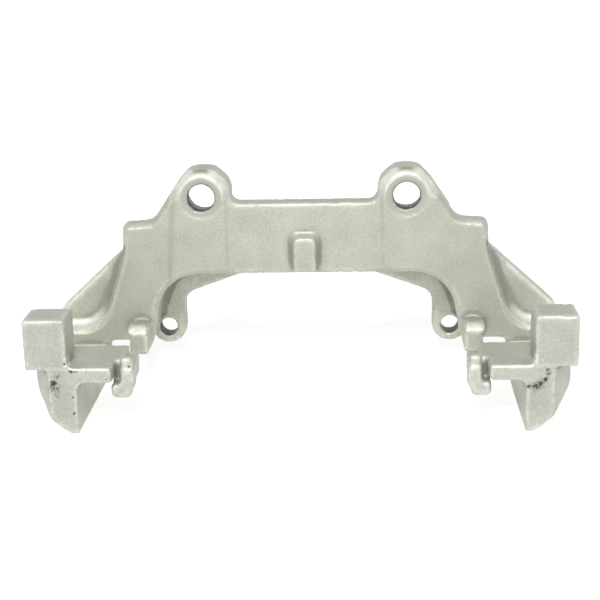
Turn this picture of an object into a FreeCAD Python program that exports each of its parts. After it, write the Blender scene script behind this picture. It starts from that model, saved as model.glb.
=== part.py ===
import FreeCAD, Part
import math
import os
from FreeCAD import Vector

# Brake caliper bracket, one iron casting.
# +X runs along the bar, +Y runs from the outboard ends towards the inboard ears,
# +Z points to the wheel hub. The origin is midway between the two mounting holes,
# on the flat front of their bosses. Millimetres.

# Mounting holes and their bosses
mount_spacing = 96.0
mount_bore = 12.5
boss_thick = 18.0
boss_crest = 13.2
boss_crest_half = 5.6
boss_inner_reach = 14.2
boss_proud = 1.0
boss_step_inset = 2.4
spot_face_diameter = 20.4
spot_face_depth = 0.5

# Inboard plate
plate_thick = 10.0
bar_top = -2.6
bar_bottom = -37.0
shoulder_x = 86.0
shoulder_top = -12.2
side_bottom = -26.0
ledge_z = -63.5
ledge_round = 15.0
ledge_reach = 2.8
plate_foot = -69.8
arch_x = 68.0
arch_radius = 20.6
inner_edge_x = 73.8
front_bevel = 2.3

# Small raised pad in the middle of the bar
pad_base_half = 7.0
pad_face_half = 5.0
pad_proud = 4.0
pad_height = 20.4
pad_slope = 3.0
pad_heel = 1.6

# Gusset between the shoulder and the arm, set back by a coved pocket
gusset_thick = 12.0
gusset_bevel = 1.6
pocket_depth = 5.8
pocket_cove = 5.4
gusset_overhang = 4.2
gusset_tip_z = -57.2

# Guide-pin ears on a rear sheet, and the wall that carries the sheet
pin_spacing = 139.8
pin_bore = 8.8
pin_z = -70.6
ear_front = 27.0
ear_thick = 10.5
ear_radius = 8.6
sheet_inner_x = 27.0
sheet_inner_z = -41.8
sheet_turn_z = -54.1
carrier_wall = 8.0
ear_bevel = 1.5

# Bridging arms over the disc
slot_width = 12.5
arm_width = 21.7
arm_bottom = -87.0
arm_top = -72.0
arm_foot_width = 3.6
arm_side_z = -72.6
arm_flare_width = 9.6
arm_flare_length = 20.0
gap_cove = 4.0

# Outboard end: pad shelf, abutment block and inner lug
front_y = -78.0
shelf_back_y = -44.3
shelf_top = -57.0
shelf_bottom = -63.9
shelf_reach = 15.1
shelf_cove = 3.5
block_inset = 3.5
block_width = 18.6
block_top = -36.1
block_depth = 16.0
block_round = 1.5
block_bevel = 0.8
lug_front_y = -73.0
lug_back_y = -50.0
lug_width = 8.5
lug_overlap = 0.9
lug_bottom = -72.0
lug_shoulder_drop = 2.6
lug_round = 2.5
lip_width = 4.6
lip_height = 2.4
lip_thick = 4.0
lip_setback = 1.0
groove_depth = 6.5
groove_bottom = -66.2

# Inboard finger that holds the inner pad
finger_inset = 0.4
finger_width = 8.8
finger_front_y = -14.0
finger_slope_y = -3.5
finger_top = -61.5
finger_slope_top = -59.9
finger_bottom = -72.0
finger_cove = 1.5
finger_round = 0.8

# Places that follow from the sizes above
mount_x = mount_spacing / 2
pin_x = pin_spacing / 2
finger_inner_x = inner_edge_x + finger_inset
finger_outer_x = finger_inner_x + finger_width
arm_inner_x = finger_outer_x + slot_width
arm_outer_x = arm_inner_x + arm_width
ledge_x = arm_inner_x + ledge_reach
gusset_tip_x = arm_outer_x + gusset_overhang
shelf_inner_x = arm_inner_x - shelf_reach
block_inner_x = arm_inner_x + block_inset
block_outer_x = block_inner_x + block_width
lug_outer_x = shelf_inner_x + lug_overlap
lug_inner_x = lug_outer_x - lug_width


def rounded_wire(points, radii):
    """Closed outline through flat corner points, each corner a tangent arc of its radius."""
    count = len(points)
    halves, reaches = [], []
    for i in range(count):
        before = points[i - 1] - points[i]
        after = points[(i + 1) % count] - points[i]
        halves.append(before.getAngle(after) / 2)
        reaches.append(radii[i] / math.tan(halves[i]))
    for i in range(count):
        following = (i + 1) % count
        crowding = (reaches[i] + reaches[following]) / (points[following] - points[i]).Length
        if crowding > 0.98:
            reaches[i] *= 0.98 / crowding
            reaches[following] *= 0.98 / crowding
    starts, middles, ends = [], [], []
    for i in range(count):
        corner = points[i]
        before = points[i - 1] - corner
        after = points[(i + 1) % count] - corner
        half = halves[i]
        reach = reaches[i]
        before.normalize()
        after.normalize()
        starts.append(corner + before * reach)
        ends.append(corner + after * reach)
        middles.append(corner)
        if reach:
            radius = reach * math.tan(half)
            bisector = before + after
            bisector.normalize()
            middles[i] = corner + bisector * (radius / math.sin(half) - radius)
    edges = []
    for i in range(count):
        if (ends[i] - starts[i]).Length > 1e-6:
            edges.append(Part.Arc(starts[i], middles[i], ends[i]).toShape())
        following = starts[(i + 1) % count]
        if (following - ends[i]).Length > 1e-6:
            edges.append(Part.LineSegment(ends[i], following).toShape())
    return Part.Wire(edges)


def wire_at_depth(corners, y):
    """Outline seen from the front, from corners (x, z, radius), in the plane Y = y."""
    return rounded_wire([Vector(x, y, z) for x, z, _ in corners], [r for _, _, r in corners])


def prism(corners, y_front, y_back):
    """Solid between two depths with a rounded outline seen from the front."""
    face = Part.Face(wire_at_depth(corners, y_front))
    return face.extrude(Vector(0, y_back - y_front, 0))


def side_prism(corners, x_inner, x_outer):
    """Solid between two places along the bar with a rounded outline (y, z, radius)."""
    wire = rounded_wire([Vector(x_inner, y, z) for y, z, _ in corners],
                        [r for _, _, r in corners])
    return Part.Face(wire).extrude(Vector(x_outer - x_inner, 0, 0))


def rim_edges(solid, y, skip=None):
    """Edges of a solid that lie in the plane Y = y, less those that a test leaves out."""
    rim = []
    for edge in solid.Edges:
        bound = edge.BoundBox
        if abs(bound.YMin - y) < 1e-4 and abs(bound.YMax - y) < 1e-4:
            if skip is None or not skip(bound):
                rim.append(edge)
    return rim


def round_rim(solid, y, radius, skip=None):
    """Fillet the rim of a solid in the plane Y = y."""
    return solid.makeFillet(radius, rim_edges(solid, y, skip))


def bevel_rim(solid, y, width, skip=None):
    """Bevel the rim of a solid in the plane Y = y."""
    return solid.makeChamfer(width, rim_edges(solid, y, skip))


def box(x0, x1, y0, y1, z0, z1):
    return Part.makeBox(x1 - x0, y1 - y0, z1 - z0, Vector(x0, y0, z0))


def plate_outline():
    """Half of the inboard plate: bar, boss, shoulder, outer edge and arched foot."""
    boss_side = mount_x - boss_inner_reach
    return [
        (0, bar_top, 0),
        (boss_side, bar_top, 5),
        (boss_side + 1.6, boss_crest - 6.2, 9),
        (mount_x - boss_crest_half, boss_crest, 6),
        (mount_x + boss_crest_half, boss_crest, 7),
        (mount_x + boss_crest_half + 6.0, boss_crest - 6.4, 12),
        (shoulder_x - 14.4, shoulder_top + 1.0, 7),
        (shoulder_x, shoulder_top, 3),
        (shoulder_x + 0.4, side_bottom, 12),
        (ledge_x, ledge_z, ledge_round),
        (arm_outer_x - 2, ledge_z, 0),
        (arm_outer_x - 2, arm_top - 4, 0),
        (arm_inner_x + 1, arm_top - 4, 0),
        (arm_inner_x - 1, plate_foot, 2.8),
        (finger_outer_x - 0.5, plate_foot, 0),
        (finger_outer_x - 0.5, finger_bottom, 0),
        (inner_edge_x, finger_bottom, 2.8),
        (arch_x, bar_bottom, arch_radius),
        (0, bar_bottom, 0),
    ]


def make_plate():
    """Plate whose middle, the bar, is set back a little, with the thicker bosses behind."""
    plate = bevel_rim(prism(plate_outline(), 0, plate_thick), 0, front_bevel,
                      lambda bound: bound.XMax < 0.01)
    boss_side = mount_x - boss_inner_reach
    step_x = boss_side + boss_step_inset
    step = Part.Face(Part.makePolygon([
        Vector(-1, -boss_proud, arm_bottom), Vector(step_x + 2 * boss_proud, -boss_proud, arm_bottom),
        Vector(step_x, boss_proud, arm_bottom), Vector(-1, boss_proud, arm_bottom),
        Vector(-1, -boss_proud, arm_bottom)]))
    boss_zone = prism([
        (boss_side + 0.8, boss_crest + 9, 0),
        (boss_side + 0.8, bar_bottom + 18, 9),
        (mount_x + 16, bar_bottom + 14, 12),
        (mount_x + 22, -4, 0),
        (mount_x + 16, boss_crest + 9, 0)], plate_thick - 2, boss_thick)
    boss = prism(plate_outline(), plate_thick - 2, boss_thick).common(boss_zone)
    return plate.cut(step.extrude(Vector(0, 0, -2 * arm_bottom))).fuse(boss)


def make_pad():
    """Small raised pad with drafted sides, on the middle of the bar."""
    top = bar_bottom + pad_height
    base = wire_at_depth([
        (-pad_base_half, bar_bottom + pad_heel / 2, 0), (-pad_base_half, top, 4),
        (pad_base_half, top, 4), (pad_base_half, bar_bottom + pad_heel / 2, 0)], boss_proud + 1)
    face = wire_at_depth([
        (-pad_face_half, bar_bottom + pad_heel, 0), (-pad_face_half, top - pad_slope, 2.6),
        (pad_face_half, top - pad_slope, 2.6), (pad_face_half, bar_bottom + pad_heel, 0)],
        boss_proud - pad_proud)
    return Part.makeLoft([base, face], True, True)


def make_gusset():
    """Triangular wall from the shoulder out to the arm, and the cove that joins it to the plate."""
    floor_y = boss_proud + pocket_depth
    outline = [
        (shoulder_x - 8, side_bottom + 6, 0),
        (shoulder_x + 0.2, side_bottom + 1, 0),
        (gusset_tip_x, gusset_tip_z, 9),
        (arm_outer_x, arm_side_z, 0),
        (arm_inner_x - 8, ledge_z - 4, 0)]
    wall = bevel_rim(prism(outline, floor_y, floor_y + gusset_thick), floor_y, gusset_bevel)
    far_x = gusset_tip_x + 20
    pocket = prism([
        (shoulder_x + 0.4, side_bottom + 20, 0),
        (far_x, side_bottom + 20, 0),
        (far_x, ledge_z, 0),
        (ledge_x, ledge_z, ledge_round),
        (shoulder_x + 0.4, side_bottom, 12)], boss_proud - 5, floor_y)
    pocket = round_rim(pocket, floor_y, pocket_cove,
                       lambda bound: bound.XMin > gusset_tip_x or bound.ZMin > side_bottom + 19)
    cove = prism(outline, boss_proud, floor_y).cut(pocket)
    return wall.fuse(cove)


def make_ear():
    """Rear sheet with the guide-pin ear, and the wall that carries it behind the arch."""
    sheet_outline = [
        (sheet_inner_x, sheet_inner_z, 4),
        (pin_x - ear_radius, sheet_turn_z, 8),
        (pin_x - ear_radius, pin_z - ear_radius, ear_radius - 0.2),
        (pin_x + ear_radius, pin_z - ear_radius, ear_radius - 0.2),
        (pin_x + ear_radius, sheet_turn_z, 8),
        (pin_x, bar_bottom - 1, 20),
        (sheet_inner_x, bar_bottom + carrier_wall, 4)]
    sheet = prism(sheet_outline, ear_front, ear_front + ear_thick)
    sheet = bevel_rim(sheet, ear_front, ear_bevel,
                      lambda bound: bound.ZMax > bar_bottom - 5 or bound.XMin > pin_x)
    carrier = prism([
        (sheet_inner_x + 0.5, bar_bottom, 3),
        (arch_x, bar_bottom, arch_radius),
        (inner_edge_x - 0.5, finger_bottom + 5, 2),
        (inner_edge_x + carrier_wall - 0.5, finger_bottom + 5, 2),
        (arch_x + carrier_wall, bar_bottom + carrier_wall, arch_radius),
        (sheet_inner_x + 0.5, bar_bottom + carrier_wall, 3)],
        plate_thick - 3, ear_front + ear_thick - 1)
    return sheet.fuse(carrier)


def make_outboard_end():
    """Pad shelf joined to the arm in one outline, with the arm's flared outer side."""
    outline = [
        (shelf_inner_x, shelf_top, 1.2),
        (arm_outer_x, shelf_top, 0),
        (arm_outer_x, arm_side_z, 7),
        (arm_inner_x + arm_foot_width, arm_bottom, 4),
        (arm_inner_x, arm_bottom, 0.8),
        (arm_inner_x, shelf_bottom, shelf_cove),
        (shelf_inner_x, shelf_bottom, 1.5)]
    return prism(outline, front_y, shelf_back_y)


def make_arm():
    """Beam over the edge of the disc, from the pad shelf back to the plate."""
    beam = prism([
        (arm_inner_x, shelf_top, 0),
        (arm_outer_x, shelf_top, 0),
        (arm_outer_x, arm_side_z, 7),
        (arm_inner_x + arm_foot_width, arm_bottom, 4),
        (arm_inner_x, arm_bottom, 0.8)], shelf_back_y - 2, plate_thick)
    gap = side_prism([
        (shelf_back_y, shelf_top + 20, 0),
        (shelf_back_y, arm_top, gap_cove),
        (boss_proud, arm_top, gap_cove),
        (boss_proud, ledge_z, 0),
        (plate_thick + 1, ledge_z, 0),
        (plate_thick + 1, shelf_top + 20, 0)], arm_inner_x - 1, arm_outer_x + 1)
    arm = make_outboard_end().fuse(beam.cut(gap))
    flare = Part.Face(Part.makePolygon([
        Vector(arm_outer_x - arm_flare_width, front_y, 0),
        Vector(arm_outer_x + 1, front_y + arm_flare_length * (1 + 1 / arm_flare_width), 0),
        Vector(arm_outer_x + 1, front_y - 1, 0),
        Vector(arm_outer_x - arm_flare_width, front_y - 1, 0),
        Vector(arm_outer_x - arm_flare_width, front_y, 0)]))
    return arm.cut(flare.extrude(Vector(0, 0, 2 * arm_bottom)))


def make_block():
    """Abutment block at the outer end of the pad shelf."""
    block = box(block_inner_x, block_outer_x, front_y, front_y + block_depth,
                shelf_top - 1, block_top)
    upright = [edge for edge in block.Edges
               if edge.BoundBox.ZLength > 1 and edge.BoundBox.XMin > block_outer_x - 0.1]
    block = block.makeFillet(block_round, upright)
    top = [edge for edge in block.Edges if edge.BoundBox.ZMin > block_top - 1e-4]
    return block.makeChamfer(block_bevel, top)


def make_lug():
    """Lug at the inner end of the shelf, with a short lip and a groove beside it."""
    foot = prism([
        (lug_inner_x, shelf_top - lug_shoulder_drop, 0.6),
        (lug_outer_x, shelf_top - lug_shoulder_drop, 0),
        (lug_outer_x, lug_bottom, lug_round),
        (lug_inner_x, lug_bottom, lug_round)], lug_front_y, lug_back_y)
    lip_outer_x = lug_inner_x + lip_width
    lip = prism([
        (lug_inner_x + 0.3, shelf_bottom, 0),
        (lug_inner_x + 0.3, shelf_top + lip_height, 1.6),
        (lip_outer_x, shelf_top + lip_height, 1.6),
        (lip_outer_x, shelf_bottom, 0)],
        lug_front_y + lip_setback, lug_front_y + lip_setback + lip_thick)
    web = box(lip_outer_x, shelf_inner_x + 2, lug_front_y + groove_depth, shelf_back_y,
              shelf_bottom, shelf_top)
    groove = prism([
        (lip_outer_x, shelf_top + 5, 0),
        (lip_outer_x, groove_bottom, 1.5),
        (lug_outer_x + 2, groove_bottom, 0),
        (lug_outer_x + 2, shelf_top + 5, 0)], lug_front_y - 1, lug_front_y + groove_depth)
    return foot.cut(groove).fuse([lip, web])


def make_finger():
    """Inboard finger with a sloping top, standing forward of the plate."""
    finger = side_prism([
        (finger_front_y, finger_bottom, 0),
        (finger_front_y, finger_top, 0),
        (finger_slope_y, finger_slope_top, 0),
        (boss_proud, finger_slope_top + 2.2, finger_cove),
        (boss_proud, finger_slope_top + 9, 0),
        (plate_thick - 2, finger_slope_top + 9, 0),
        (plate_thick - 2, finger_bottom, 0)], finger_inner_x, finger_outer_x)
    front = [edge for edge in finger.Edges
             if edge.BoundBox.YMax < finger_slope_y and edge.BoundBox.ZLength > 5]
    return finger.makeFillet(finger_round, front)


def bore(x, z, diameter):
    """Cutter for a hole along Y through the whole depth of the casting."""
    return Part.makeCylinder(diameter / 2, 200, Vector(x, -100, z), Vector(0, 1, 0))


def make_bracket():
    half = make_plate().fuse([make_gusset(), make_ear(), make_arm(), make_block(), make_lug(), make_finger()])
    half = half.cut([bore(mount_x, 0, mount_bore), bore(pin_x, pin_z, pin_bore),
                     Part.makeCylinder(spot_face_diameter / 2, spot_face_depth,
                                       Vector(mount_x, 0, 0), Vector(0, 1, 0))])
    other = half.mirror(Vector(0, 0, 0), Vector(1, 0, 0))
    return half.fuse([other, make_pad()]).removeSplitter()


bracket = make_bracket()
os.makedirs("parts", exist_ok=True)
bracket.exportStep("parts/caliper_bracket.step")
extent = bracket.BoundBox
print("solids", len(bracket.Solids), "valid", bracket.isValid())
print("size", round(extent.XLength, 1), round(extent.YLength, 1), round(extent.ZLength, 1))
print("volume cm3", round(bracket.Volume / 1000, 1))
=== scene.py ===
# %% [markdown]
# The object is a brake caliper bracket: one heavy iron casting that bolts behind a wheel
# and bridges the rim of a brake disc. Nothing on it moves, so this lesson is about light
# and surface. We load the measured solid, give it the soft edges that sand leaves on
# iron, and then paint grain, worn corners and rust with nodes, along with painted shade
# and painted highlights.

# %% Load the frame
import math
import bmesh
import bpy
from mathutils import Matrix, Vector, noise


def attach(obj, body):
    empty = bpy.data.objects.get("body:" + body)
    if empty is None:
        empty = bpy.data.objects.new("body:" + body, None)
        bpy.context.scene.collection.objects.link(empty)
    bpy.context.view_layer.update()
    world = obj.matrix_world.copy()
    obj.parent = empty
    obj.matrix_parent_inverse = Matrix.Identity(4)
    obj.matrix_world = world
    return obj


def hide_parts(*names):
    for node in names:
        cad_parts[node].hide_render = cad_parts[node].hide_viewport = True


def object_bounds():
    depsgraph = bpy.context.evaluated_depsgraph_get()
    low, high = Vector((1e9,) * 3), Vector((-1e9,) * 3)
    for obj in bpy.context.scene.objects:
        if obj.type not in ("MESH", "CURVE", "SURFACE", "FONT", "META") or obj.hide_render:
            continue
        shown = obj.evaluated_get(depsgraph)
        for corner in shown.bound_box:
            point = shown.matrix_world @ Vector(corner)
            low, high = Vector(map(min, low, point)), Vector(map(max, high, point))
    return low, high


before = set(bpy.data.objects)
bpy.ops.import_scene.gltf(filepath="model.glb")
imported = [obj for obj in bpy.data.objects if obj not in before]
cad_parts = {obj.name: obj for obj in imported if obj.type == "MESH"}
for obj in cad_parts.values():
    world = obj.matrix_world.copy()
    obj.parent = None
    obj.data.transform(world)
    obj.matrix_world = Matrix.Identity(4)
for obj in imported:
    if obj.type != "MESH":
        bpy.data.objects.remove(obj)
cad_low, cad_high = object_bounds()
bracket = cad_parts["caliper_bracket"]
millimetre = 0.001
print("bracket measures", [round(side * 1000, 1) for side in cad_high - cad_low], "mm")

# %% [markdown]
# The picture was taken from straight in front, a little above, with a longish lens.
# A camera looks along its own -Z axis, so we work out where it points from a compass
# turn (yaw), a downward tilt (pitch) and a small lean (roll), and write its three axes
# as the columns of a matrix.

# %% Camera
camera_place = Vector((0.02798, -0.63867, 0.13227))
camera_yaw = math.radians(-2.7517)
camera_pitch = math.radians(15.8854)
camera_roll = math.radians(1.3316)

forward = Vector((
    math.sin(camera_yaw) * math.cos(camera_pitch),
    math.cos(camera_yaw) * math.cos(camera_pitch),
    -math.sin(camera_pitch)))
level_right = Vector((math.cos(camera_yaw), -math.sin(camera_yaw), 0))
level_down = forward.cross(level_right)
right = math.cos(camera_roll) * level_right + math.sin(camera_roll) * level_down
up = math.sin(camera_roll) * level_right - math.cos(camera_roll) * level_down
camera_axes = Matrix((right, up, -forward)).transposed().to_4x4()

camera = bpy.data.objects.new("camera", bpy.data.cameras.new("camera"))
camera.data.lens = 84
camera.data.sensor_width = 36
camera.data.clip_start = 0.01
camera.matrix_world = Matrix.Translation(camera_place) @ camera_axes
bpy.context.scene.collection.objects.link(camera)
bpy.context.scene.camera = camera
print("camera stands", round(camera_place.length, 3), "m from the middle of the bracket")

# %% [markdown]
# A catalogue picture has a white ground and no hard shadows. One wide lamp above the
# camera lights the front faces, which leaves upward faces a little darker and makes the
# rounded front edges the brightest lines. An even world will fill the rest.

# %% Lamp
key_place = Vector((-0.11, -2.25, 2.05))
key_width = 1.1
key_power = 58.5
middle = (cad_low + cad_high) / 2

lamp = bpy.data.lights.new("key", "AREA")
lamp.shape = "DISK"
lamp.size = key_width
lamp.energy = key_power
holder = bpy.data.objects.new("key", lamp)
holder.location = key_place
holder.rotation_euler = (middle - key_place).to_track_quat("-Z", "Y").to_euler()
bpy.context.scene.collection.objects.link(holder)
print("key lamp", round((middle - key_place).length, 2), "m away")

# %% [markdown]
# The ground in the picture is pure white. More light would bleach the iron too, so the
# white comes from the Light Path node: rays that come straight from the camera, or from
# a reflection, see a background of strength 1, and all other rays get the dim studio
# fill. The floor gets a little of its own glow in the same way, and keeps its shadow.

# %% World
fill_strength = 0.30


def link_seen_rays(nodes, links):
    """Socket that is 1 for rays from the camera or a reflection, and 0 for the rest."""
    light_path = nodes.new("ShaderNodeLightPath")
    total = light_path.outputs["Is Camera Ray"]
    for name in ("Is Glossy Ray", "Is Transmission Ray"):
        joiner = nodes.new("ShaderNodeMath")
        joiner.operation = "MAXIMUM"
        links.new(total, joiner.inputs[0])
        links.new(light_path.outputs[name], joiner.inputs[1])
        total = joiner.outputs[0]
    return total


world = bpy.data.worlds.new("studio")
world.use_nodes = True
nodes = world.node_tree.nodes
links = world.node_tree.links
background = nodes["Background"]
background.inputs["Color"].default_value = (1, 1, 1, 1)
strength = nodes.new("ShaderNodeMapRange")
strength.inputs["To Min"].default_value = fill_strength
strength.inputs["To Max"].default_value = 1.0
links.new(link_seen_rays(nodes, links), strength.inputs["Value"])
links.new(strength.outputs["Result"], background.inputs["Strength"])
bpy.context.scene.world = world
bpy.context.scene.view_settings.view_transform = "Standard"
print("world strength", fill_strength, "to 1")

# %% [markdown]
# The floor is one plain square that lies under the lowest point of the bracket.

# %% Floor
floor_half_width = 6.0
floor_glow = 0.68

floor_shape = bmesh.new()
bmesh.ops.create_grid(floor_shape, x_segments=1, y_segments=1, size=floor_half_width)
bmesh.ops.translate(floor_shape, verts=floor_shape.verts, vec=(0, 0, cad_low.z))
floor_mesh = bpy.data.meshes.new("floor")
floor_shape.to_mesh(floor_mesh)
floor_shape.free()
floor = bpy.data.objects.new("floor", floor_mesh)
bpy.context.scene.collection.objects.link(floor)

floor_paint = bpy.data.materials.new("white_floor")
floor_paint.use_nodes = True
nodes = floor_paint.node_tree.nodes
links = floor_paint.node_tree.links
paint = nodes["Principled BSDF"]
paint.inputs["Base Color"].default_value = (0.9, 0.9, 0.9, 1)
paint.inputs["Roughness"].default_value = 0.9
paint.inputs["Specular IOR Level"].default_value = 0.2
paint.inputs["Emission Color"].default_value = (1, 1, 1, 1)
glow = nodes.new("ShaderNodeMath")
glow.operation = "MULTIPLY"
glow.inputs[1].default_value = floor_glow
links.new(link_seen_rays(nodes, links), glow.inputs[0])
links.new(glow.outputs[0], paint.inputs["Emission Strength"])
floor_mesh.materials.append(floor_paint)
print("floor lies at", round(cad_low.z * 1000, 1), "mm")

# %% [markdown]
# The solid has crisp steps where one form meets another, and real iron never does:
# molten metal rounds every corner of the sand. We copy the mesh, merge its loose
# triangles, and let a voxel remesh rebuild it as one even skin. A round of smoothing
# then softens the corners by about half a millimetre.

# %% The casting's skin
voxel_size = 0.88 * millimetre
merge_distance = 0.002 * millimetre

skin_shape = bmesh.new()
skin_shape.from_mesh(bracket.data)
bmesh.ops.remove_doubles(skin_shape, verts=skin_shape.verts, dist=merge_distance)
skin_mesh = bpy.data.meshes.new("cast_skin")
skin_shape.to_mesh(skin_mesh)
skin_shape.free()
skin = bpy.data.objects.new("cast_skin", skin_mesh)
bpy.context.scene.collection.objects.link(skin)
remesh = skin.modifiers.new("even_skin", "REMESH")
remesh.mode = "VOXEL"
remesh.voxel_size = voxel_size
remesh.use_smooth_shade = True
bpy.context.view_layer.update()
remeshed = skin.evaluated_get(bpy.context.evaluated_depsgraph_get())
skin.data = bpy.data.meshes.new_from_object(remeshed)
skin.modifiers.clear()
skin.data.materials.clear()


def smooth(shape, points, rounds):
    for _ in range(rounds):
        bmesh.ops.smooth_vert(shape, verts=points, factor=0.5,
                              use_axis_x=True, use_axis_y=True, use_axis_z=True)


casting = bmesh.new()
casting.from_mesh(skin.data)
smooth(casting, casting.verts, 1)
print("skin has", len(casting.faces), "faces")

# %% [markdown]
# Every change to the skin asks where a point lies. The two halves mirror each other, so
# three distances in millimetres are enough: how far to the side, how deep (positive
# towards the back) and how high. Another helper turns a distance into a soft 0 to 1.
#
# Behind each arch a wall meets the thin sheet of the ear. On the real casting a broad
# cove joins them. Many more smoothing rounds on the points near that inner corner, and
# on no others, pull the same kind of cove into the skin.

# %% Cove behind the arches
def place_of(vertex):
    """Side, depth and level of a point, in millimetres."""
    return abs(vertex.co.x) * 1000, vertex.co.y * 1000, vertex.co.z * 1000


def limited(value, low, high):
    """Where a value lies between two limits, as 0 to 1."""
    return min(1.0, max(0.0, (value - low) / (high - low)))


cove_rounds = 70
corner_points = []
for vertex in casting.verts:
    side, depth, level = place_of(vertex)
    if 52 < side < 74.5 and 16 < depth < 28.5 and -63 < level < -37.5:
        corner_points.append(vertex)
smooth(casting, corner_points, cove_rounds)
casting.normal_update()
print("cove points", len(corner_points))

# %% [markdown]
# Corners of the casting catch wear and light, and its hollows lie in shade. To
# know which is which, we smooth a second copy much further and see where each point
# went: a ridge sinks inwards and a hollow rises. The distances are kept as attributes,
# which the material will read: corners wear bright, and hollows and upward faces get
# painted shade. The long low step of the bar is left out of both.

# %% Find ridges and hollows
fine_rounds = 8
broad_rounds = 50
# Strength of the painted shade on upward faces, inboard and outboard.
inboard_top_shade = 0.50
outboard_top_shade = 0.10


def drift_after(shape, rounds):
    """How far each point moves outwards along its normal under heavy smoothing."""
    softer = shape.copy()
    smooth(softer, softer.verts, rounds)
    drift = [(softened.co - vertex.co).dot(vertex.normal)
             for softened, vertex in zip(softer.verts, shape.verts)]
    softer.free()
    return drift


fine_drift = drift_after(casting, fine_rounds)
broad_drift = drift_after(casting, broad_rounds)
ridge_layer = casting.verts.layers.float.new("ridge")
painted_shade_layer = casting.verts.layers.float.new("painted_shade")
for vertex, fine, broad in zip(casting.verts, fine_drift, broad_drift):
    side, depth, level = place_of(vertex)
    vertex[ridge_layer] = limited(-fine / millimetre, 0.03, 0.26)
    # Upward faces get painted shade, and so do hollows that do not face upwards.
    top_shade_share = outboard_top_shade if depth < -44 else inboard_top_shade
    top_shade = top_shade_share * limited(vertex.normal.z, 0.80, 0.97)
    not_upward = 1 - limited(vertex.normal.z, 0.15, 0.6)
    sheltered = limited(broad / millimetre, 0.08, 0.7) * not_upward
    vertex[painted_shade_layer] = max(top_shade, sheltered)
    if 33 < side < 41 and depth < 2.5 and level < -6:
        vertex[painted_shade_layer] = 0.0
        vertex[ridge_layer] = 0.0
print("largest fine drift", round(max(fine_drift) * 1000, 2), "mm")

# %% [markdown]
# A few small forms are easier to shape on the skin than in the solid. The fingers get a
# flat head with a 45 degree front and a little overhang. The points at the foot of each
# head, where it meets the plate, are then smoothed into a cove.

# %% Finger heads
finger_front = -14.0
finger_top = -61.5
finger_slope = 0.152
root_front = -3.5
root_top = -59.9
root_slope = 0.733
head_level = -58.2
head_overhang = 1.3
foot_rounds = 14


def head_rise(depth, level):
    """Upward shift in millimetres that turns the sloping finger top into a head."""
    sloping_top = finger_top + finger_slope * (depth - finger_front)
    if depth > root_front:
        sloping_top = root_top + root_slope * (depth - root_front)
    head_top = min(head_level, finger_top + (depth - finger_front))
    near_top = limited(level, sloping_top - 1.4, sloping_top - 0.3)
    return max(0.0, head_top - sloping_top) * near_top


head_points = []
foot_points = []
for vertex in casting.verts:
    side, depth, level = place_of(vertex)
    if 73.5 < side < 84.5 and -14.8 < depth < 0 and level > -66:
        vertex.co.z += head_rise(depth, level) * millimetre
        growth = head_overhang * limited(side, 81.5, 83.0) * limited(-depth, 1, 4)
        growth *= limited(vertex.co.z * 1000, -63.5, -61.0)
        vertex.co.x += math.copysign(growth, vertex.co.x) * millimetre
        head_points.append(vertex)
    if 73 < side < 85 and -4.5 < depth < 4 and -62 < level < -53:
        foot_points.append(vertex)
smooth(casting, head_points, 1)
smooth(casting, foot_points, foot_rounds)
print("head points", len(head_points), "and foot points", len(foot_points))

# %% [markdown]
# The outboard blocks grow a few millimetres up and back, and the lips of the lugs grow
# towards the middle.

# %% Outboard blocks and lug lips
block_growth_back = 3.5
block_growth_up = 0.8
lip_side = 75.5
lip_growth = 1.1

for vertex in casting.verts:
    side, depth, level = place_of(vertex)
    if side > 97 and depth < -55 and level > -57:
        behind = limited(depth, -72, -63) * limited(level, -57, -53)
        vertex.co.y += block_growth_back * behind * millimetre
        vertex.co.z += block_growth_up * limited(level, -50, -37) * millimetre
    if side < lip_side and depth < -60 and level < -50:
        growth = lip_growth * limited(lip_side - side, 0.0, 1.5) * limited(-depth, 60, 68)
        vertex.co.x -= math.copysign(growth, vertex.co.x) * millimetre
print("blocks grown by", block_growth_back, "mm and lips by", lip_growth, "mm")

# %% [markdown]
# The mounting holes are relieved from behind: past a short land at the front they get
# wider, so that little of their walls shows to the camera.

# %% Relieve the mounting holes
hole_side = 48.0
hole_radius = 6.25
hole_relief = 1.5

for vertex in casting.verts:
    side, depth, level = place_of(vertex)
    across = side - hole_side
    reach = math.hypot(across, level)
    wide_radius = hole_radius + hole_relief * limited(depth, 6, 8)
    if depth > 6 and reach < wide_radius:
        new_side = hole_side + across * wide_radius / reach
        vertex.co.x = math.copysign(new_side, vertex.co.x) * millimetre
        vertex.co.z = level * wide_radius / reach * millimetre
casting.normal_update()
print("holes relieved to", hole_radius + hole_relief, "mm in radius")

# %% [markdown]
# The molten iron left its own marks. The bosses fall away above the machined ring, so
# that they shine there like a crescent. The left one has a shallow crease beside it, a
# small step runs under each outboard block, and every worn corner is a little lumpy.
# These marks are pressed inwards, so that the casting keeps its measured size. Only the
# lugs swell a little, to their real thickness.

# %% Press in the marks of casting
ring_radius = 9.0
crescent_fall = 2.9
crescent_width = 4.4
crease_fall = 0.45
crease_width = 1.1
step_fall = 0.4
lug_swelling = 0.4


def crescent_depth(side, depth, level):
    """Fall of a boss front above the flat ring round its hole."""
    across = side - hole_side
    reach = math.hypot(across, level)
    if reach > 17:
        return 0.0
    fall = crescent_fall * limited(reach, ring_radius, ring_radius + crescent_width)
    flat_crest = 1.0 - 0.3 * math.exp(-(across / 3) ** 2)
    return fall * flat_crest * limited(level, -1, 5) * (1 - limited(depth, 0, 9))


def crease_depth(signed_side, depth, level):
    """Shallow upright crease beside the left boss."""
    if depth > 1.5 or level > 2 or level < -42:
        return 0.0
    crease_side = -61.6 + 0.09 * level
    off = (signed_side - crease_side) / crease_width
    return crease_fall * math.exp(-off * off)


def step_depth(side, depth, level):
    """Small step under each outboard block, where two halves of the sand met."""
    if depth > -77 or side < 98.5:
        return 0.0
    return step_fall * limited(-level, 57.0, 57.9)


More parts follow.
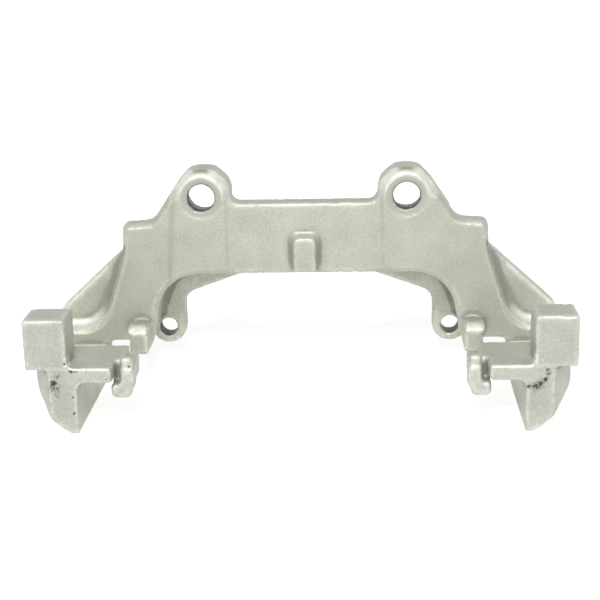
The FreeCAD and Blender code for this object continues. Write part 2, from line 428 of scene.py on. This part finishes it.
for vertex in casting.verts:
    side, depth, level = place_of(vertex)
    place = vertex.co.copy()
    vertex.co.y += step_depth(side, depth, level) * millimetre
    if depth < 9 and level > -45:
        crease = crease_depth(place.x * 1000, depth, level)
        vertex.co.y += (crescent_depth(side, depth, level) + crease) * millimetre
        # The crease gets painted shade too.
        vertex[painted_shade_layer] = max(vertex[painted_shade_layer], crease)
    lumps = noise.fractal(place * 260, 0.6, 2.0, 3) * 0.5 + 0.5
    dents = limited(noise.noise(place * 520), 0.05, 0.5)
    on_lug = 70 < side < 82.5 and -74.5 < depth < -48.5
    lumpiness = 0.08 if on_lug else 0.25
    sinking = 0.02 + 0.10 * lumps + lumpiness * dents * vertex[ridge_layer]
    if on_lug:
        sinking -= lug_swelling
    vertex.co -= vertex.normal * sinking * millimetre
print("crescents fall by", crescent_fall, "mm")

# %% [markdown]
# A few rust pits sit on the outboard faces, where the sand left gas holes. Each is a
# place, a radius and a strength, and leaves a dent in the mesh and a number in a third
# attribute, "rust". The ragged edges come later, from noise in the material.

# %% Rust pits
pit_dent = 0.35
pits = [
    ((-105.5, -78, -63.7), 1.7, 1.0),
    ((-104.8, -78, -66.2), 4.2, 0.55),
    ((-103.4, -78, -60.8), 1.8, 0.56),
    ((-104.0, -78, -69.4), 1.8, 0.5),
    ((-97.3, -78, -69.7), 0.8, 0.95),
    ((-97.3, -78, -77.4), 0.9, 0.9),
    ((-100.0, -77, -54.9), 0.9, 0.9),
    ((-98.3, -78, -58.2), 0.9, 0.80),
    ((-97.1, -78, -58.4), 1.1, 0.88),
    ((-95.3, -78, -58.3), 1.0, 0.75),
    ((-91.0, -78, -58.2), 0.8, 0.66),
    ((-82.6, -78, -61.9), 0.7, 0.8),
    ((-73.4, -73, -58.2), 0.8, 0.8),
    ((-76.3, -14, -71.4), 0.9, 0.95),
    ((94.2, -78, -66.0), 1.3, 0.72),
    ((96.6, -78, -66.6), 1.4, 0.78),
    ((99.2, -78, -66.4), 1.6, 0.80),
    ((101.7, -78, -65.3), 1.4, 0.95),
    ((103.6, -78, -63.6), 1.4, 0.9),
    ((104.9, -78, -61.4), 1.0, 0.75),
    ((104.2, -78, -58.9), 0.7, 0.8),
    ((100.6, -78, -67.0), 4.6, 0.53),
    ((104.6, -78, -59.8), 2.2, 0.58),
]

rust_layer = casting.verts.layers.float.new("rust")
for centre, radius, strength in pits:
    centre = Vector(centre) * millimetre
    reach = radius * millimetre
    for vertex in casting.verts:
        off = vertex.co - centre
        if abs(off.x) < 2 * reach and abs(off.z) < 2 * reach and abs(off.y) < 2 * millimetre:
            closeness = strength * math.exp(-(off.x ** 2 + off.z ** 2) / reach ** 2)
            vertex[rust_layer] = max(vertex[rust_layer], closeness)
for vertex in casting.verts:
    vertex.co -= vertex.normal * pit_dent * millimetre * vertex[rust_layer]
print("rust pits", len(pits))

# %% [markdown]
# Inside the drilled holes the thin coat is missing, and the iron is darker; the walls
# also get painted shade, half as strong at their lit back end. A fourth attribute marks
# the walls of the mounting holes and of the smaller guide-pin holes, from the front rim
# to the back, and a fifth the machined ring round each mounting hole.

# %% Mark the drilled holes
pin_hole_side = 69.9
pin_hole_level = -70.6
pin_hole_radius = 4.4
pin_hole_front = 27.6
ring_front = 0.6
bores = [
    (hole_side, 0.0, hole_radius, ring_front),
    (pin_hole_side, pin_hole_level, pin_hole_radius, pin_hole_front),
]

bore_iron_and_shade_layer = casting.verts.layers.float.new("bore_iron_and_shade")
ring_layer = casting.verts.layers.float.new("ring")
for vertex in casting.verts:
    side, depth, level = place_of(vertex)
    in_relief = 5 < depth < 19
    for bore_side, bore_level, radius, front in bores:
        reach = math.hypot(side - bore_side, level - bore_level)
        wall_radius = radius + (1.6 if in_relief else 0.0)
        inside = 1.0 - limited(reach, wall_radius + 0.25, wall_radius + 0.9)
        lit_end = 1.0 - 0.5 * limited(depth, front + 8, front + 12)
        darkness = inside * limited(depth, front, front + 0.9) * lit_end
        vertex[bore_iron_and_shade_layer] = max(vertex[bore_iron_and_shade_layer], darkness)
    reach = math.hypot(side - hole_side, level)
    if depth < 3:
        vertex[ring_layer] = 1.0 - limited(reach, ring_radius - 0.3, ring_radius + 0.7)
        vertex[ridge_layer] *= limited(reach, ring_radius, ring_radius + 2.5)
print("bores marked", 2 * len(bores))

# %% [markdown]
# Some places are pale all over. The fronts and the upper edges of the two shelves are
# worn bright. The tops of the two fingers that the inner pad slides on, the coves at the
# bottom of the gussets and the band that runs up from them get a painted highlight,
# stronger where they face upwards. The outboard ends get an attribute of their own,
# because their coat is a plainer grey.

# %% Mark the worn places and the painted highlights
def wear_and_highlight_amount(vertex):
    side, depth, level = place_of(vertex)
    normal = vertex.normal
    # The gusset band, the gusset coves and the finger heads get a painted highlight that grows as
    # their normal turns upwards.
    on_gusset_band = side > 86 and 6 < depth < 9.2 and level > -58 and normal.y < -0.3
    if on_gusset_band:
        return 0.9 * limited(normal.z, 0.15, 0.45)
    in_gusset_cove = side > 96 and 1.5 < depth < 8.5 and -66 < level < -52
    if in_gusset_cove:
        return 0.75 * limited(normal.z, 0.25, 0.6)
    on_block_fillet = 97.5 < side < 100.5 and depth < -72 and -56.5 < level < -51.5
    if on_block_fillet:
        return 0.8
    on_shelf_edge = side > 80 and depth < -76.5 and -57.9 < level < -56.6
    if on_shelf_edge:
        return 0.75 if side < 98.5 else 0.3
    on_shelf_front = 80 < side < 100 and depth < -77 and -64.5 < level < -56
    if on_shelf_front:
        return 0.10
    on_finger_head = 73 < side < 85 and -15 < depth < -9.5 and level > -63
    if on_finger_head:
        return 0.45 * limited(normal.z, 0.3, 0.6)
    return 0.0


wear_and_highlight_layer = casting.verts.layers.float.new("wear_and_highlight")
outboard_layer = casting.verts.layers.float.new("outboard")
for vertex in casting.verts:
    vertex[wear_and_highlight_layer] = wear_and_highlight_amount(vertex)
    vertex[outboard_layer] = 0.55 * limited(-vertex.co.y * 1000, 50, 72)
print("worn points", sum(vertex[wear_and_highlight_layer] > 0.05 for vertex in casting.verts))

# %% [markdown]
# Smoothing alone misses some shade, so more is painted. The coves at the foot of the plate
# and of the finger heads face the lamp and would flash, so they get painted shade, and so
# do the sloping edges of the bar and the inner wall of each gusset.

# %% Paint shade into listed places
for vertex in casting.verts:
    side, depth, level = place_of(vertex)
    normal = vertex.normal
    in_plate_foot = side > 94 and -5 < depth < 4 and level < -66
    in_head_foot = 73 < side < 85 and -2.2 < depth < 1 and -59.5 < level < -54
    if in_plate_foot or in_head_foot:
        shade = 0.62 * limited(normal.z, 0.02, 0.12) * (1 - limited(normal.z, 0.60, 0.80))
        vertex[painted_shade_layer] = max(vertex[painted_shade_layer], shade)
        vertex[ridge_layer] = 0.0
    if depth < 3 and level > -17:
        shade = 0.35 * limited(normal.z, 0.2, 0.5) * (1 - limited(normal.z, 0.85, 0.95))
        vertex[painted_shade_layer] = max(vertex[painted_shade_layer], shade)
        vertex[ridge_layer] *= 0.4
    if 84 < side < 106 and 0.8 < depth < 7.8 and -62 < level < -22:
        outward = math.copysign(1, vertex.co.x) * normal.x
        shade = 0.95 * limited(outward, 0.2, 0.55) * limited(level, -57, -49)
        vertex[painted_shade_layer] = max(vertex[painted_shade_layer], shade)
print("shaded points", sum(vertex[painted_shade_layer] > 0.3 for vertex in casting.verts))

# %% [markdown]
# The crescents over the mounting holes get a painted highlight too, except for a short
# patch of painted shade at the crest of each boss. That was the last mark, so the skin
# takes its new shape.

# %% Crescents of painted highlight
for vertex in casting.verts:
    side, depth, level = place_of(vertex)
    reach = math.hypot(side - hole_side, level)
    if depth < 5 and 9.3 < reach < 17 and level > -1 and vertex.normal.y < -0.3:
        crest_shade = math.exp(-((side - hole_side) / 4) ** 4) * limited(reach, 11.2, 12.2)
        crescent_highlight = 0.8 * limited(level, -1, 5) * limited(reach, 9.3, 10.0)
        # Painted highlight on each crescent, painted shade at its crest.
        vertex[wear_and_highlight_layer] = crescent_highlight * (1 - crest_shade)
        vertex[painted_shade_layer] = 1.1 * crest_shade

casting.to_mesh(skin.data)
casting.free()
print("skin attributes", [layer.name for layer in skin.data.attributes if layer.domain == "POINT"])

# %% [markdown]
# Sand leaves a skin of grains half a millimetre across, and the thin zinc coat makes
# some of them sparkle; that sparkle is a painted glint, a lighter colour on some grains.
# This group makes both from Object coordinates, so that the grains keep their size in
# millimetres, and gives a height for the bump as well.

# %% Group: sand grain
def new_group(name, inputs, outputs):
    """Shader node group with float inputs (name, value) and float outputs (name)."""
    group = bpy.data.node_groups.new(name, "ShaderNodeTree")
    for socket_name, value in inputs:
        socket = group.interface.new_socket(
            socket_name, in_out="INPUT", socket_type="NodeSocketFloat")
        socket.default_value = value
    for socket_name in outputs:
        group.interface.new_socket(
            socket_name, in_out="OUTPUT", socket_type="NodeSocketFloat")
    return group, group.nodes.new("NodeGroupInput"), group.nodes.new("NodeGroupOutput")


def noise_at(group, place, scale, detail, roughness=0.5):
    texture = group.nodes.new("ShaderNodeTexNoise")
    texture.inputs["Scale"].default_value = scale
    texture.inputs["Detail"].default_value = detail
    texture.inputs["Roughness"].default_value = roughness
    group.links.new(place, texture.inputs["Vector"])
    return texture.outputs["Fac"]


def remap(group, value, low, high, new_low=0.0, new_high=1.0):
    ranger = group.nodes.new("ShaderNodeMapRange")
    ranger.inputs["From Min"].default_value = low
    ranger.inputs["From Max"].default_value = high
    ranger.inputs["To Min"].default_value = new_low
    ranger.inputs["To Max"].default_value = new_high
    group.links.new(value, ranger.inputs["Value"])
    return ranger.outputs["Result"]


def combine(group, operation, first, second):
    """Join two sockets, or a socket and a number, by a sum, product or other rule."""
    node = group.nodes.new("ShaderNodeMath")
    node.operation = operation
    for index, value in enumerate((first, second)):
        if isinstance(value, float):
            node.inputs[index].default_value = value
        else:
            group.links.new(value, node.inputs[index])
    return node.outputs[0]


def attribute(group, name):
    reader = group.nodes.new("ShaderNodeAttribute")
    reader.attribute_name = name
    return reader.outputs["Fac"]


grain_scale = 1100
painted_glint_scale = 1500
blotch_scale = 70

sand_grain, grain_in, grain_out = new_group(
    "sand_grain", [("Sparkle", 0.5)], ["Shade", "Height"])
object_place = sand_grain.nodes.new("ShaderNodeTexCoord").outputs["Object"]
grains = remap(sand_grain, noise_at(sand_grain, object_place, grain_scale, 3, 0.62), 0.25, 0.75)
painted_glints = remap(sand_grain, noise_at(sand_grain, object_place, painted_glint_scale, 1), 0.62, 0.78)
blotches = remap(sand_grain, noise_at(sand_grain, object_place, blotch_scale, 3), 0.3, 0.7)
shade = combine(sand_grain, "MULTIPLY", grains, 0.7)
shade = combine(sand_grain, "ADD", shade, combine(sand_grain, "MULTIPLY", blotches, 0.3))
# Painted glints make some grains lighter.
painted_glint = combine(sand_grain, "MULTIPLY", painted_glints, grain_in.outputs["Sparkle"])
sand_grain.links.new(combine(sand_grain, "ADD", shade, painted_glint), grain_out.inputs["Shade"])
sand_grain.links.new(combine(sand_grain, "ADD", grains, painted_glints), grain_out.inputs["Height"])
print("sand_grain has", len(sand_grain.nodes), "nodes")

# %% [markdown]
# Handling rubs the corners bright. The "ridge" attribute says where corners are, and a
# noise breaks the line up, because no two millimetres of a corner rub alike. The worn
# places and the painted highlights go through the same noise, more gently.

# %% Group: rubbed corners and painted highlights
wear_scale = 420

rubbed_corners_and_highlights, rub_in, rub_out = new_group("rubbed_corners_and_highlights", [("Amount", 1.0)], ["Mask"])
object_place = rubbed_corners_and_highlights.nodes.new("ShaderNodeTexCoord").outputs["Object"]
broken = remap(
    rubbed_corners_and_highlights, noise_at(rubbed_corners_and_highlights, object_place, wear_scale, 3, 0.6), 0.30, 0.62)
corner = combine(
    rubbed_corners_and_highlights, "MULTIPLY", attribute(rubbed_corners_and_highlights, "ridge"), rub_in.outputs["Amount"])
corner = combine(rubbed_corners_and_highlights, "MULTIPLY", corner, broken)
patchy = remap(rubbed_corners_and_highlights, broken, 0.0, 1.0, 0.6, 1.0)
patch = combine(rubbed_corners_and_highlights, "MULTIPLY", attribute(rubbed_corners_and_highlights, "wear_and_highlight"), patchy)
rubbed_corners_and_highlights.links.new(
    combine(rubbed_corners_and_highlights, "MAXIMUM", corner, patch), rub_out.inputs["Mask"])
print("rubbed_corners_and_highlights has", len(rubbed_corners_and_highlights.nodes), "nodes")

# %% [markdown]
# Rust is not a smooth stain: it is a cluster of dark crumbs. The "rust" attribute is
# added to a fine noise, so the middle of a pit is solid and its rim is speckled.

# %% Group: rust speckle
crumb_scale = 1300

rust_speckle, rust_in, rust_out = new_group("rust_speckle", [("Spread", 1.0)], ["Mask"])
object_place = rust_speckle.nodes.new("ShaderNodeTexCoord").outputs["Object"]
crumbs = noise_at(rust_speckle, object_place, crumb_scale, 2, 0.6)
rusted = combine(
    rust_speckle, "MULTIPLY", attribute(rust_speckle, "rust"), rust_in.outputs["Spread"])
rusted = combine(rust_speckle, "ADD", rusted, crumbs)
rust_speckle.links.new(remap(rust_speckle, rusted, 0.88, 1.24), rust_out.inputs["Mask"])
print("rust_speckle has", len(rust_speckle.nodes), "nodes")

# %% [markdown]
# Now the material itself. Each colour is mixed over the last: the olive-grey coat with
# its grain and painted glints, the plainer grey of the outboard ends, the machined rings,
# painted shade in the hollows and on upward faces, pale rubbed corners and painted
# highlights, bare dark bores with painted shade, and rust.

# %% Colours of cast iron with a thin coat
coat_dark = (0.39, 0.41, 0.335)
coat_light = (0.60, 0.62, 0.53)
plain_dark = (0.375, 0.38, 0.335)
plain_light = (0.575, 0.58, 0.53)
# Tone of the painted shade.
painted_shade_tone = (0.30, 0.32, 0.25)
# Tone of rubbed corners and of painted highlights.
rubbed_and_highlight_tone = (0.86, 0.88, 0.80)
bare_iron_and_shade_tone = (0.06, 0.06, 0.055)
machined = (0.42, 0.43, 0.37)
rust_brown = (0.075, 0.065, 0.052)


def place_group(nodes, group, **values):
    holder = nodes.new("ShaderNodeGroup")
    holder.node_tree = group
    for name, value in values.items():
        holder.inputs[name].default_value = value
    return holder


def mix_colour(tree, mask, below, above):
    """Lay a colour over another where a mask is 1; either may be a socket."""
    mixer = tree.nodes.new("ShaderNodeMix")
    mixer.data_type = "RGBA"
    tree.links.new(mask, mixer.inputs["Factor"])
    for socket, colour in ((mixer.inputs["A"], below), (mixer.inputs["B"], above)):
        if isinstance(colour, tuple):
            socket.default_value = (*colour, 1)
        else:
            tree.links.new(colour, socket)
    return mixer.outputs["Result"]


def share_of(tree, name, share):
    """An attribute of the skin, scaled down to serve as a mask."""
    return combine(tree, "MULTIPLY", attribute(tree, name), share)


cast_iron = bpy.data.materials.new("cast_iron")
cast_iron.use_nodes = True
tree = cast_iron.node_tree
shader = tree.nodes["Principled BSDF"]
grain = place_group(tree.nodes, sand_grain, Sparkle=0.45)
corners_and_highlights = place_group(tree.nodes, rubbed_corners_and_highlights, Amount=0.45)
rust = place_group(tree.nodes, rust_speckle, Spread=1.0)

darker = mix_colour(tree, attribute(tree, "outboard"), coat_dark, plain_dark)
lighter = mix_colour(tree, attribute(tree, "outboard"), coat_light, plain_light)
colour = mix_colour(tree, grain.outputs["Shade"], darker, lighter)
colour = mix_colour(tree, share_of(tree, "ring", 0.8), colour, machined)
# Painted shade in the hollows, on upward faces and in the listed places.
colour = mix_colour(tree, share_of(tree, "painted_shade", 0.75), colour, painted_shade_tone)
# Rubbed corners, worn places and painted highlights.
colour = mix_colour(tree, corners_and_highlights.outputs["Mask"], colour, rubbed_and_highlight_tone)
# Bare iron in the bores, darkened further by painted shade.
colour = mix_colour(tree, share_of(tree, "bore_iron_and_shade", 0.97), colour, bare_iron_and_shade_tone)
colour = mix_colour(tree, rust.outputs["Mask"], colour, rust_brown)
tree.links.new(colour, shader.inputs["Base Color"])
print("cast_iron colour uses", len(tree.nodes), "nodes")

# %% [markdown]
# The coat shines softly, most where a grain is light. Rust and deep hollows are duller,
# and rust is no metal. The bump adds the height of the grains and sinks the rust.

# %% Shine and bump
bump_strength = 0.5
bump_height = 0.12 * millimetre

roughness = remap(tree, grain.outputs["Shade"], 0.2, 1.1, 0.56, 0.40)
deep_shade = remap(tree, attribute(tree, "painted_shade"), 0.50, 0.62, 0.0, 0.35)
roughness = combine(tree, "ADD", roughness, deep_shade)
rust_roughness = combine(tree, "MULTIPLY", rust.outputs["Mask"], 0.4)
roughness = combine(tree, "ADD", roughness, rust_roughness)
tree.links.new(roughness, shader.inputs["Roughness"])

unrusted = combine(tree, "SUBTRACT", 1.0, rust.outputs["Mask"])
tree.links.new(combine(tree, "MULTIPLY", unrusted, 0.55), shader.inputs["Metallic"])

rust_sinking = combine(tree, "MULTIPLY", rust.outputs["Mask"], 2.0)
bump = tree.nodes.new("ShaderNodeBump")
bump.inputs["Strength"].default_value = bump_strength
bump.inputs["Distance"].default_value = bump_height
tree.links.new(
    combine(tree, "SUBTRACT", grain.outputs["Height"], rust_sinking), bump.inputs["Height"])
tree.links.new(bump.outputs["Normal"], shader.inputs["Normal"])
print("cast_iron has", len(tree.nodes), "nodes")

# %% [markdown]
# The skin takes the place of the CAD node. It rides on the root body, because nothing
# on the bracket moves.

# %% Put the skin in place
skin.data.materials.append(cast_iron)
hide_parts("caliper_bracket")
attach(skin, "root")
print(skin.name, "has", len(skin.data.polygons), "faces")
